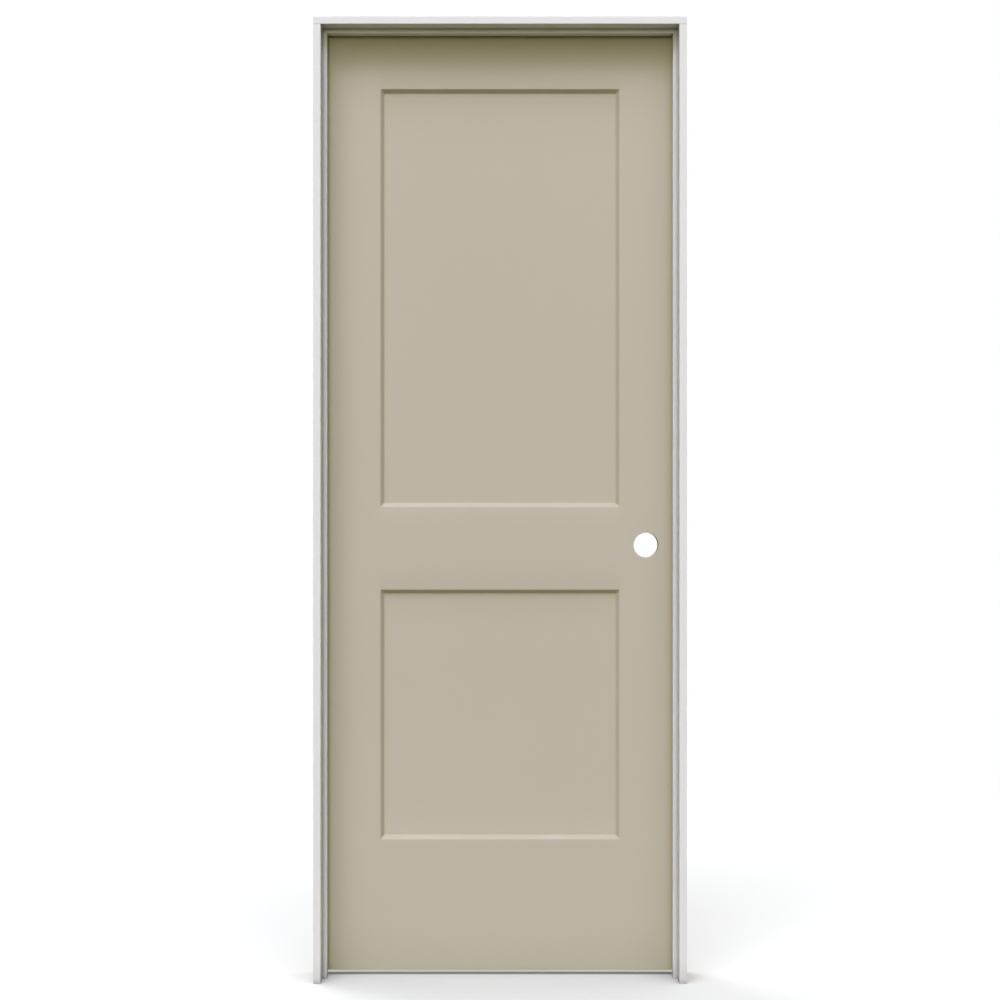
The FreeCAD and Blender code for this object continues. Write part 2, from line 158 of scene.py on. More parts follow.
def maths(tree, operation, first, second=0.0, third=0.0, clamp=False):
    values = {0: first, 1: second, 2: third}
    return addNode(tree, "Math", values, operation=operation, use_clamp=clamp).outputs[0]


def mixColour(tree, factor, first, second, blend="MIX"):
    values = {0: factor, 6: first, 7: second}
    return addNode(tree, "Mix", values, data_type="RGBA", blend_type=blend).outputs[2]


def mixValue(tree, factor, first, second):
    values = {0: factor, 2: first, 3: second}
    return addNode(tree, "Mix", values, data_type="FLOAT").outputs[0]


def fade(tree, value, low, high):
    # 0 at low, 1 at high, smooth between
    values = {"Value": value, "From Min": low, "From Max": high}
    return addNode(tree, "MapRange", values, interpolation_type="SMOOTHSTEP").outputs["Result"]


def noise(tree, vector, scale, detail=2.0, roughness=0.5):
    values = {"Vector": vector, "Scale": scale, "Detail": detail, "Roughness": roughness}
    return addNode(tree, "TexNoise", values).outputs[0]


def patchNoise(tree, vector, size, detail=2.0, roughness=0.5):
    # noise with patches about size metres across
    return noise(tree, vector, maths(tree, "DIVIDE", 1.0, size), detail, roughness)


def varied(tree, pattern, amount, base, clamp=False):
    # base + amount * (pattern - 1/2)
    centred = maths(tree, "SUBTRACT", pattern, 0.5)
    return maths(tree, "MULTIPLY_ADD", centred, amount, base, clamp=clamp)


def scaled(tree, colour, level):
    return addNode(tree, "VectorMath", {0: colour, "Scale": level}, operation="SCALE").outputs[0]


def alignment(tree, first, second):
    # 1 where two directions agree, 0 where they are square to each other
    values = {0: first, 1: second}
    return addNode(tree, "VectorMath", values, operation="DOT_PRODUCT").outputs["Value"]


def stretched(tree, vector, scale):
    return addNode(tree, "Mapping", {"Vector": vector, "Scale": scale}).outputs[0]


def makeGroup(name, inputs, outputs):
    # a shader node group, what it is given, and its output node; inputs are names with their
    # values, None for a vector; every output but Color is a number
    group = bpy.data.node_groups.new(name, "ShaderNodeTree")
    kinds = {type(None): "Vector", tuple: "Color", float: "Float"}
    for label, value in inputs.items():
        kind = "NodeSocket" + kinds[type(value)]
        socket = group.interface.new_socket(name=label, in_out="INPUT", socket_type=kind)
        if value is not None:
            socket.default_value = value
    for label in outputs:
        kind = "NodeSocketColor" if label == "Color" else "NodeSocketFloat"
        group.interface.new_socket(name=label, in_out="OUTPUT", socket_type=kind)
    given = group.nodes.new("NodeGroupInput").outputs
    return group, given, group.nodes.new("NodeGroupOutput")


def useGroup(tree, group, values):
    made = tree.nodes.new("ShaderNodeGroup")
    made.node_tree = group
    fillInputs(tree, made, values)
    return made.outputs


# Effects that several finishes share. What a finish changes is a group's input, and the rest
# of its numbers stand above it.
# Sprayed paint: a fine orange peel over broad, faint clouds of tone.
paintShape = {"peelRoughness": 0.16, "waveScale": 0.12, "waveHeight": 1.6}
paintCoat, given, wanted = makeGroup(
    "paintCoat",
    {
        "Vector": None,
        "Color": (0.8, 0.8, 0.8, 1.0),
        "Cloud Size": 0.35,
        "Cloud Amount": 0.03,
        "Peel Size": 0.0014,
        "Roughness": 0.4,
    },
    ["Color", "Roughness", "Height"],
)
tree = paintCoat
cloud = patchNoise(tree, given["Vector"], given["Cloud Size"], 3.0)
level = varied(tree, cloud, given["Cloud Amount"], 1.0)
peelScale = maths(tree, "DIVIDE", 1.0, given["Peel Size"])
peel = noise(tree, given["Vector"], peelScale, 2.0, 0.55)
waveScale = maths(tree, "MULTIPLY", peelScale, paintShape["waveScale"])
wave = noise(tree, given["Vector"], waveScale, 1.0)
peelRoughness = varied(tree, peel, paintShape["peelRoughness"], given["Roughness"])
peelHeight = maths(tree, "MULTIPLY_ADD", wave, paintShape["waveHeight"], peel)
toned = scaled(tree, given["Color"], level)
fillInputs(tree, wanted, {"Color": toned, "Roughness": peelRoughness, "Height": peelHeight})

# Edge wear: where a rounded normal leaves the true one, broken up by a fine noise.
wearShape = {"turn": (0.995, 0.80), "patchEdge": (0.35, 0.62)}
edgeWear, given, wanted = makeGroup(
    "edgeWear",
    {"Vector": None, "Width": 0.0008, "Patch Size": 0.02, "Amount": 0.5},
    ["Mask"],
)
tree = edgeWear
rounded = addNode(tree, "Bevel", {"Radius": given["Width"]}, samples=4).outputs[0]
trueNormal = addNode(tree, "NewGeometry").outputs["Normal"]
edge = fade(tree, alignment(tree, rounded, trueNormal), *wearShape["turn"])
patches = patchNoise(tree, given["Vector"], given["Patch Size"], 4.0, 0.6)
worn = maths(tree, "MULTIPLY", edge, fade(tree, patches, *wearShape["patchEdge"]))
wornMask = maths(tree, "MULTIPLY", worn, given["Amount"], clamp=True)
fillInputs(tree, wanted, {"Mask": wornMask})

# Settled dust: on faces that look up, in uneven patches.
dustShape = {"upward": (0.3, 0.9), "patchEdge": (0.3, 0.7)}
settledDust, given, wanted = makeGroup(
    "settledDust",
    {"Vector": None, "Patch Size": 0.03, "Amount": 0.2},
    ["Mask"],
)
tree = settledDust
trueNormal = addNode(tree, "NewGeometry").outputs["Normal"]
upward = addNode(tree, "SeparateXYZ", {0: trueNormal}).outputs[2]
upward = fade(tree, upward, *dustShape["upward"])
drift = patchNoise(tree, given["Vector"], given["Patch Size"], 5.0, 0.65)
lying = maths(tree, "MULTIPLY", upward, fade(tree, drift, *dustShape["patchEdge"]))
dustMask = maths(tree, "MULTIPLY", lying, given["Amount"], clamp=True)
fillInputs(tree, wanted, {"Mask": dustMask})

# Pine grain along the vector's Z: long wavering bands with fine pores between them.
grainShape = {
    "bandStretch": (1.0, 1.0, 0.05),
    "bandScale": 14.0,
    "bandEdge": (0.12, 0.46),
    "poreStretch": (1.0, 1.0, 0.02),
    "poreScale": 2600.0,
    "poreAmount": 0.5,
}
woodGrain, given, wanted = makeGroup(
    "woodGrain",
    {
        "Vector": None,
        "Ring Width": 0.006,
        "Light Color": (0.68, 0.545, 0.33, 1.0),
        "Dark Color": (0.54, 0.395, 0.205, 1.0),
    },
    ["Color", "Mask", "Height"],
)
tree = woodGrain
along = stretched(tree, given["Vector"], grainShape["bandStretch"])
bend = noise(tree, along, grainShape["bandScale"], 3.0, 0.55)
ringStep = maths(tree, "MULTIPLY", given["Ring Width"], grainShape["bandScale"])
band = maths(tree, "PINGPONG", maths(tree, "DIVIDE", bend, ringStep), 0.5)
ringMask = fade(tree, band, *grainShape["bandEdge"])
along = stretched(tree, given["Vector"], grainShape["poreStretch"])
pores = noise(tree, along, grainShape["poreScale"], 2.0, 0.7)
grainMask = varied(tree, pores, grainShape["poreAmount"], ringMask, clamp=True)
grainColour = mixColour(tree, grainMask, given["Light Color"], given["Dark Color"])
grainHeight = maths(tree, "SUBTRACT", 1.0, grainMask)
fillInputs(tree, wanted, {"Color": grainColour, "Mask": grainMask, "Height": grainHeight})

# Finger joints: short lengths of board glued end to end, cut in a zigzag, each with its own tone.
glueLine = (0.0009, 0.0002)  # distance from a joint at which its line starts, and is full
fingerJoints, given, wanted = makeGroup(
    "fingerJoints",
    {
        "Along": 0.0,
        "Across": 0.0,
        "Board Length": 0.42,
        "Finger Length": 0.011,
        "Finger Width": 0.0065,
    },
    ["Tone", "Line"],
)
tree = fingerJoints
fingers = maths(tree, "DIVIDE", given["Across"], given["Finger Width"])
zigzag = maths(tree, "MULTIPLY", maths(tree, "PINGPONG", fingers, 0.5), 2.0)
shifted = maths(tree, "MULTIPLY_ADD", zigzag, given["Finger Length"], given["Along"])
counted = maths(tree, "DIVIDE", shifted, given["Board Length"])
board = maths(tree, "FLOOR", counted)
tone = addNode(tree, "TexWhiteNoise", {"W": board}, noise_dimensions="1D").outputs["Value"]
share = maths(tree, "PINGPONG", counted, 0.5)
fromJoint = maths(tree, "MULTIPLY", share, given["Board Length"])
line = fade(tree, fromJoint, *glueLine)
fillInputs(tree, wanted, {"Tone": tone, "Line": line})

# Filled nail holes: small round spots at an even spacing along a board.
spotEdge = (1.1, 0.7)  # in spot radii
nailFill, given, wanted = makeGroup(
    "nailFill",
    {"Along": 0.0, "Across": 0.0, "Spacing": 0.38, "Spot Radius": 0.0016},
    ["Mask"],
)
tree = nailFill
reach = maths(tree, "PINGPONG", given["Along"], maths(tree, "MULTIPLY", given["Spacing"], 0.5))
squares = [maths(tree, "POWER", side, 2.0) for side in (reach, given["Across"])]
fromNail = maths(tree, "SQRT", maths(tree, "ADD", *squares))
spot = maths(tree, "DIVIDE", fromNail, given["Spot Radius"])
fillInputs(tree, wanted, {"Mask": fade(tree, spot, *spotEdge)})

# Brushed metal: hairlines along the vector's Z, with a broad smear of roughness.
metalShape = {
    "hairStretch": (1.0, 1.0, 0.03),
    "hairScale": 5200.0,
    "hairTone": 0.25,
    "hairRoughness": 0.12,
    "smearScale": 60.0,
    "smearRoughness": 0.2,
}
# the default Color is darker than real satin nickel: painted shade that dims the metal's
# reflection of the white surroundings
brushedMetal, given, wanted = makeGroup(
    "brushedMetal",
    {"Vector": None, "Color": (0.43, 0.41, 0.375, 1.0), "Roughness": 0.3},
    ["Color", "Roughness", "Height"],
)
tree = brushedMetal
along = stretched(tree, given["Vector"], metalShape["hairStretch"])
hair = noise(tree, along, metalShape["hairScale"], 3.0, 0.7)
smear = noise(tree, given["Vector"], metalShape["smearScale"], 3.0)
shine = scaled(tree, given["Color"], varied(tree, hair, metalShape["hairTone"], 1.0))
matt = varied(tree, smear, metalShape["smearRoughness"], given["Roughness"])
matt = varied(tree, hair, metalShape["hairRoughness"], matt)
fillInputs(tree, wanted, {"Color": shine, "Roughness": matt, "Height": hair})

# Pressed fibre: short specks and hairs of two tones.
fibreShape = {"stretch": (1.0, 1.0, 0.35), "toneEdge": (0.35, 0.65)}
fibreBoard, given, wanted = makeGroup(
    "fibreBoard",
    {
        "Vector": None,
        "Light Color": (0.40, 0.31, 0.21, 1.0),
        "Dark Color": (0.20, 0.14, 0.09, 1.0),
        "Fibre Size": 0.0012,
    },
    ["Color", "Height"],
)
tree = fibreBoard
along = stretched(tree, given["Vector"], fibreShape["stretch"])
hairs = patchNoise(tree, along, given["Fibre Size"], 4.0, 0.7)
fibreMask = fade(tree, hairs, *fibreShape["toneEdge"])
fibreColour = mixColour(tree, fibreMask, given["Dark Color"], given["Light Color"])
fillInputs(tree, wanted, {"Color": fibreColour, "Height": hairs})

# Painted recess shade: where neighbouring surfaces come close, an ambient occlusion mask darkens
# and warms the colour; this is painted shade, not the paint's own tone. The recess colour is what
# the colour is multiplied by at the deepest.
paintedRecessShade, given, wanted = makeGroup(
    "paintedRecessShade",
    {"Color": (0.8, 0.8, 0.8, 1.0), "Recess Color": (0.7, 0.65, 0.5, 1.0), "Reach": 0.05},
    ["Color", "Mask"],
)
tree = paintedRecessShade
around = addNode(tree, "AmbientOcclusion", {"Distance": given["Reach"]}, samples=8)
closed = maths(tree, "SUBTRACT", 1.0, around.outputs["AO"], clamp=True)
deepest = mixColour(tree, 1.0, given["Color"], given["Recess Color"], "MULTIPLY")
paintedShadeColour = mixColour(tree, closed, given["Color"], deepest)
fillInputs(tree, wanted, {"Color": paintedShadeColour, "Mask": closed})
print("shared effects built:", len(bpy.data.node_groups))


# finishes
def newFinish(name):
    # a material with an empty tree, its object coordinates and their three parts
    material = bpy.data.materials.new(name)
    material.use_nodes = True
    tree = material.node_tree
    tree.nodes.clear()
    place = addNode(tree, "TexCoord").outputs["Object"]
    return material, tree, place, addNode(tree, "SeparateXYZ", {0: place}).outputs


def shade(tree, colour, roughness, height, depth, others=None):
    # the surface itself; height is its bump, as deep as depth in metres
    values = {"Height": height, "Distance": depth, "Strength": 1.0}
    bump = addNode(tree, "Bump", values).outputs[0]
    values = {"Base Color": colour, "Roughness": roughness, "Normal": bump, **(others or {})}
    surface = addNode(tree, "BsdfPrincipled", values).outputs[0]
    addNode(tree, "OutputMaterial", {"Surface": surface})


def withPaintedRecessShade(tree, colour, look):
    # two painted recess shades, one over a broad reach and one close in
    for tint, reach in (("cornerShadeColour", "cornerReach"), ("creaseShadeColour", "creaseReach")):
        values = {"Color": colour, "Recess Color": look[tint], "Reach": look[reach]}
        colour = useGroup(tree, paintedRecessShade, values)["Color"]
    return colour


def aged(tree, place, colour, look):
    # worn edges and settled dust over a colour, and their masks
    wear = useGroup(tree, edgeWear, {"Vector": place, **look["wear"]})["Mask"]
    dust = useGroup(tree, settledDust, {"Vector": place, **look["dust"]})["Mask"]
    colour = mixColour(tree, wear, colour, look["wornColour"])
    return mixColour(tree, dust, colour, look["dustColour"]), wear, dust


squareOn = (0.90, 0.98)  # alignment at which a face starts to count, and counts fully


def facing(tree, way):
    # 1 on faces that look along a direction of the object's own axes
    own = addNode(tree, "TexCoord").outputs["Normal"]
    return fade(tree, alignment(tree, own, way), *squareOn)


def insideBox(tree, axes, low, high):
    # 1 inside a box of the object's own coordinates, 0 outside
    inside = None
    for axis, start, end in zip(axes, low, high):
        near = maths(tree, "COMPARE", axis, (start + end) / 2, (end - start) / 2)
        inside = near if inside is None else maths(tree, "MULTIPLY", inside, near)
    return inside


boreLook = {
    "colour": (0.20, 0.21, 0.16, 1.0),  # painted shade: multiplies sawn wood and board where the bore's walls close round them
    "reach": 0.05,
    "lockEdge": (0.7736, 0.7742),  # across, from bare to painted
}


# painted shade: darkens a colour where surrounding walls close in, as inside the bore
def paintedBoreShade(tree, colour):
    values = {"Color": colour, "Recess Color": boreLook["colour"], "Reach": boreLook["reach"]}
    return useGroup(tree, paintedRecessShade, values)["Color"]


def boreWalls(tree, axes):
    # bare wherever the face doesn't look out of the slab's lock edge, or lies deeper than the edge
    atEdge = fade(tree, axes[0], *boreLook["lockEdge"])
    painted = maths(tree, "MULTIPLY", facing(tree, (1.0, 0.0, 0.0)), atEdge)
    return maths(tree, "SUBTRACT", 1.0, painted)


woodLook = {
    "ringWidth": 0.005,
    "wear": {"Width": 0.001, "Patch Size": 0.01, "Amount": 0.5},
    "wornColour": (0.72, 0.60, 0.43, 1.0),
    "roughness": (-0.12, 0.82),  # what the dark of the grain adds, and its own
    "grainDepth": 0.00008,
}


def bareWood(name):
    material, tree, place, _ = newFinish(name)
    grain = useGroup(tree, woodGrain, {"Vector": place, "Ring Width": woodLook["ringWidth"]})
    wear = useGroup(tree, edgeWear, {"Vector": place, **woodLook["wear"]})["Mask"]
    colour = mixColour(tree, wear, grain["Color"], woodLook["wornColour"])
    roughness = maths(tree, "MULTIPLY_ADD", grain["Mask"], *woodLook["roughness"])
    # painted shade where the wood lies inside the bore
    colour = paintedBoreShade(tree, colour)
    shade(tree, colour, roughness, grain["Height"], woodLook["grainDepth"])
    return material


tanLook = {
    "colour": (0.484, 0.444, 0.360, 1.0),
    "coat": {"Cloud Size": 0.42, "Cloud Amount": 0.035, "Peel Size": 0.0013, "Roughness": 0.60},
    "wear": {"Width": 0.0007, "Patch Size": 0.03, "Amount": 0.30},
    "dust": {"Patch Size": 0.04, "Amount": 0.18},
    "wornColour": (0.59, 0.55, 0.47, 1.0),  # primer showing through at rubbed edges
    "dustColour": (0.60, 0.58, 0.53, 1.0),
    "dustRoughness": 0.7,
    "cornerShadeColour": (0.79, 0.78, 0.74, 1.0),  # painted shade, darker and warmer, in the corners of the opening
    "cornerReach": 0.12,
    "creaseShadeColour": (0.93, 0.89, 0.58, 1.0),  # painted shade, darker and warmer, close in at the foot of the slopes and beside the stops
    "creaseReach": 0.022,
    "bareRoughness": 0.75,
    "gloss": {"Specular IOR Level": 0.22},
    "peelDepth": 0.00003,
}


def tanPaint(name, bareWhere=None):
    # satin tan paint; bareWhere(tree, axes) may give a mask where the wood under it shows
    material, tree, place, axes = newFinish(name)
    values = {"Vector": place, "Color": tanLook["colour"], **tanLook["coat"]}
    coat = useGroup(tree, paintCoat, values)
    # painted shade in corners and creases, then wear and dust
    colour, _, dust = aged(tree, place, withPaintedRecessShade(tree, coat["Color"], tanLook), tanLook)
    roughness = mixValue(tree, dust, coat["Roughness"], tanLook["dustRoughness"])
    height = coat["Height"]
    if bareWhere is not None:
        bare = bareWhere(tree, axes)
        grain = useGroup(tree, woodGrain, {"Vector": place, "Ring Width": woodLook["ringWidth"]})
        # the bare wood inside the bore takes painted shade
        colour = mixColour(tree, bare, colour, paintedBoreShade(tree, grain["Color"]))
        roughness = mixValue(tree, bare, roughness, tanLook["bareRoughness"])
        height = mixValue(tree, bare, height, grain["Height"])
    shade(tree, colour, roughness, height, tanLook["peelDepth"], tanLook["gloss"])
    return material


primerLook = {
    "colour": (0.745, 0.735, 0.732, 1.0),
    # the stops' primer is lighter and bluer than the jambs': painted light that lifts the stops
    # out of their shade
    "stopPaintedLightColour": (0.80, 0.795, 0.82, 1.0),
    "coat": {"Cloud Size": 0.25, "Cloud Amount": 0.04, "Peel Size": 0.0009, "Roughness": 0.62},
    "wear": {"Width": 0.0006, "Patch Size": 0.015, "Amount": 0.25},
    "dust": {"Patch Size": 0.03, "Amount": 0.12},
    "wornColour": (0.66, 0.60, 0.50, 1.0),
    "dustColour": (0.70, 0.68, 0.63, 1.0),
    # painted shade: the primer darkens in the corners and creases of the frame
    "cornerShadeColour": (0.62, 0.62, 0.60, 1.0),
    "cornerReach": 0.06,
    "creaseShadeColour": (0.42, 0.42, 0.40, 1.0),
    "creaseReach": 0.012,
    "gloss": {"Specular IOR Level": 0.3},
    "bumpDepth": 0.00003,
    # the pine under it; heights are in orange peels
    "ringWidth": 0.004,
    "grainHeight": 1.2,
    "boardLength": 0.46,
    "jointHeight": -2.5,
    # filled nail holes
    "fillerColour": (0.84, 0.83, 0.80, 1.0),
    "fillerHeight": -3.0,
    "nailLine": 0.002,  # their place across the stop
    # bare backs and sawn ends
    "boardTone": (0.28, 0.84),  # swing and least of the tone from board to board
    "glueColour": (0.25, 0.15, 0.08, 1.0),
    "glueAmount": 0.55,
    "oversprayScale": 45.0,
    "oversprayEdge": (0.60, 0.74),
    "oversprayAmount": 0.5,
    "bareRoughness": 0.8,
    "strikeGain": ((0.7817, 0.0200, 0.9050), (0.7973, 0.0579, 0.9630)),  # routed after priming
}


def whitePrimer(name, tint, lengthAxis, bareSides=(), nailed=False, routed=None):
    # flat white primer over finger-jointed pine, as long as X (0) or Z (2); bareSides are the
    # directions of the back and the sawn ends, left unprimed; routed is the low and high corner
    # of a place cut into the primed board
    look = primerLook
    material, tree, place, axes = newFinish(name)
    turn = {0: (0.0, math.pi / 2, 0.0), 2: (0.0, 0.0, 0.0)}[lengthAxis]
    grainPlace = addNode(tree, "Mapping", {"Vector": place, "Rotation": turn}).outputs[0]
    values = {"Along": axes[lengthAxis], "Across": axes[1], "Board Length": look["boardLength"]}
    joints = useGroup(tree, fingerJoints, values)
    grain = useGroup(tree, woodGrain, {"Vector": grainPlace, "Ring Width": look["ringWidth"]})
    coat = useGroup(tree, paintCoat, {"Vector": place, "Color": tint, **look["coat"]})
    # painted shade in corners and creases, then wear and dust
    colour, _, _ = aged(tree, place, withPaintedRecessShade(tree, coat["Color"], look), look)
    height = maths(tree, "MULTIPLY_ADD", grain["Height"], look["grainHeight"], coat["Height"])
    height = maths(tree, "MULTIPLY_ADD", joints["Line"], look["jointHeight"], height)
    if nailed:
        across = maths(tree, "SUBTRACT", axes[1], look["nailLine"])
        spots = useGroup(tree, nailFill, {"Along": axes[lengthAxis], "Across": across})["Mask"]
        colour = mixColour(tree, spots, colour, look["fillerColour"])
        height = maths(tree, "MULTIPLY_ADD", spots, look["fillerHeight"], height)
    roughness = coat["Roughness"]
    if bareSides:
        behind = facing(tree, bareSides[0])
        for way in bareSides[1:]:
            behind = maths(tree, "MAXIMUM", behind, facing(tree, way))
        ragged = noise(tree, place, look["oversprayScale"], 4.0, 0.7)
        overspray = fade(tree, ragged, *look["oversprayEdge"])
        overspray = maths(tree, "MULTIPLY", overspray, look["oversprayAmount"])
        bare = maths(tree, "SUBTRACT", behind, overspray, clamp=True)
        bare = maths(tree, "MULTIPLY", behind, bare)
        timber = scaled(
            tree, grain["Color"], maths(tree, "MULTIPLY_ADD", joints["Tone"], *look["boardTone"])
        )
        glued = maths(tree, "MULTIPLY", joints["Line"], look["glueAmount"])
        timber = mixColour(tree, glued, timber, look["glueColour"])
        colour = mixColour(tree, bare, colour, timber)
        roughness = mixValue(tree, bare, roughness, look["bareRoughness"])
    if routed is not None:
        cut = insideBox(tree, axes, *routed)
        # the routed gain's bare wood takes painted shade
        colour = mixColour(tree, cut, colour, paintedBoreShade(tree, grain["Color"]))
        roughness = mixValue(tree, cut, roughness, look["bareRoughness"])
    shade(tree, colour, roughness, height, look["bumpDepth"], look["gloss"])
    return material


boardLook = {
    "skin": ((0.44, 0.37, 0.27, 1.0), (0.26, 0.20, 0.14, 1.0), 0.0009),  # light, dark, fibre size
    "core": ((0.52, 0.42, 0.30, 1.0), (0.36, 0.27, 0.18, 1.0), 0.003),
    "roughness": (0.2, 0.72),  # what the fibres add, and its own
    "fibreDepth": 0.0001,
}


def pressedBoard(name, light, dark, fibreSize):
    material, tree, place, _ = newFinish(name)
    values = {"Vector": place, "Light Color": light, "Dark Color": dark, "Fibre Size": fibreSize}
    board = useGroup(tree, fibreBoard, values)
    roughness = maths(tree, "MULTIPLY_ADD", board["Height"], *boardLook["roughness"])
    # painted shade where the board lies inside the bore or between parts
    colour = paintedBoreShade(tree, board["Color"])
    shade(tree, colour, roughness, board["Height"], boardLook["fibreDepth"])
    return material


nickelLook = {
    "leafRoughness": 0.30,
    "pinRoughness": 0.24,
    "wear": {"Width": 0.0004, "Patch Size": 0.004, "Amount": 0.45},
    "dust": {"Patch Size": 0.006, "Amount": 0.35},
    "wornColour": (0.62, 0.60, 0.56, 1.0),
    "wornRoughness": 0.22,
    "dustColour": (0.36, 0.34, 0.31, 1.0),
    "dustRoughness": 0.6,
    "hairDepth": 0.00001,
}


def satinNickel(name, roughness):
    material, tree, place, _ = newFinish(name)
    metal = useGroup(tree, brushedMetal, {"Vector": place, "Roughness": roughness})
    colour, wear, dust = aged(tree, place, metal["Color"], nickelLook)
    roughness = mixValue(tree, wear, metal["Roughness"], nickelLook["wornRoughness"])
    roughness = mixValue(tree, dust, roughness, nickelLook["dustRoughness"])
    depth = nickelLook["hairDepth"]
    shade(tree, colour, roughness, metal["Height"], depth, {"Metallic": 1.0})
    return material


slabPaint = tanPaint("slabPaint")
lockStilePaint = tanPaint("lockStilePaint", boreWalls)
boardEdge = pressedBoard("boardEdge", *boardLook["skin"])
coreFilling = pressedBoard("coreFilling", *boardLook["core"])
blockWood = bareWood("blockWood")
jambTint, stopPaintedLightTint = primerLook["colour"], primerLook["stopPaintedLightColour"]
left, right = (-1.0, 0.0, 0.0), (1.0, 0.0, 0.0)
down, up = (0.0, 0.0, -1.0), (0.0, 0.0, 1.0)
hingeJambPrimer = whitePrimer("hingeJambPrimer", jambTint, 2, bareSides=(left, down))
strikeJambPrimer = whitePrimer(
    "strikeJambPrimer", jambTint, 2, bareSides=(right, down), routed=primerLook["strikeGain"]
)
headJambPrimer = whitePrimer("headJambPrimer", jambTint, 0, bareSides=(up, left, right))
sideStopPrimer = whitePrimer("sideStopPrimer", stopPaintedLightTint, 2, nailed=True)
headStopPrimer = whitePrimer("headStopPrimer", stopPaintedLightTint, 0, nailed=True)
leafNickel = satinNickel("leafNickel", nickelLook["leafRoughness"])
pinNickel = satinNickel("pinNickel", nickelLook["pinRoughness"])

nodeFinishes = {
    "hinge_jamb": hingeJambPrimer,
    "strike_jamb": strikeJambPrimer,
    "head_jamb": headJambPrimer,
    "hinge_stop": sideStopPrimer,
    "strike_stop": sideStopPrimer,
    "head_stop": headStopPrimer,
    "hinge_stile": slabPaint,
    "lock_stile": lockStilePaint,
    "top_rail": slabPaint,
    "bottom_rail": slabPaint,
    "lock_block": blockWood,
    "door_core": coreFilling,
}
for nodeName, finish in nodeFinishes.items():
    nodes[nodeName].data.materials.clear()
    nodes[nodeName].data.materials.append(finish)
print("finishes given to", len(nodeFinishes), "nodes")


# moulded skins of the slab
skin = {
    "thickness": 0.0032,
    "panelInset": 0.118,  # slab edge to the panel's outer line
    "widestEdge": 0.7765,  # lock edge at the pull side
    "lowerPanel": (0.295, 0.837),  # heights of the outer lines
    "upperPanel": (1.017, 1.925),
    "slopeWidth": 0.008,
    "slopeDepth": 0.0095,
    "softness": 0.0009,  # half the rounding at the slope's top and foot
    "easedEdge": 0.0008,
    "roundLines": 5,  # grid lines over a rounding
    "middleMargin": 0.02,  # outer line to the grid lines inside the panel
    "middleLines": (7, 9),  # across and up
    "stileLine": 0.05,
    "bore": (0.7162, 0.934, 0.027),  # across, up, radius
    "boreSquare": 0.034,  # half the square of the grid that the bore's rings fill
    "boreLines": 17,
    "boreRings": (0.35, 0.7, 0.9),  # from the square, 0, to the circle, 1
    "boreEase": 0.0005,
    "lipLines": 4,
    "leafHeights": (0.290, 1.033, 1.776),
    "gainHigh": 0.0894,
    "gainClear": 0.0002,
    "gainDeep": 0.002,
    "edgeLean": 0.002 / 0.035,  # the lock edge's bevel
    "tiny": 1e-6,
}


def softRamp(run, soft):
    # 0 before -soft, run after soft, and the parabola (run + soft)^2 / (4 soft) between
    return np.where(run < -soft, 0.0, np.where(run > soft, run, (run + soft) ** 2 / (4.0 * soft)))


def slopeAt(inset):
    # depth of the moulded slope at a distance inside the panel's outer line
    soft, wide = skin["softness"], skin["slopeWidth"]
    climb = softRamp(inset, soft) - softRamp(inset - wide, soft)
    return climb * skin["slopeDepth"] / wide


def easeAt(inset, radius):
    # quarter circle: radius deep at the edge, nothing from the radius on
    kept = np.clip(radius - inset, 0.0, radius)
    return radius - np.sqrt(radius**2 - kept**2)


def insetIn(across, up, low, high):
    # distance inside a rectangle, negative outside, so that slopes meet in mitres
    sideways = np.minimum(across - low[0], high[0] - across)
    return np.minimum(sideways, np.minimum(up - low[1], high[1] - up))


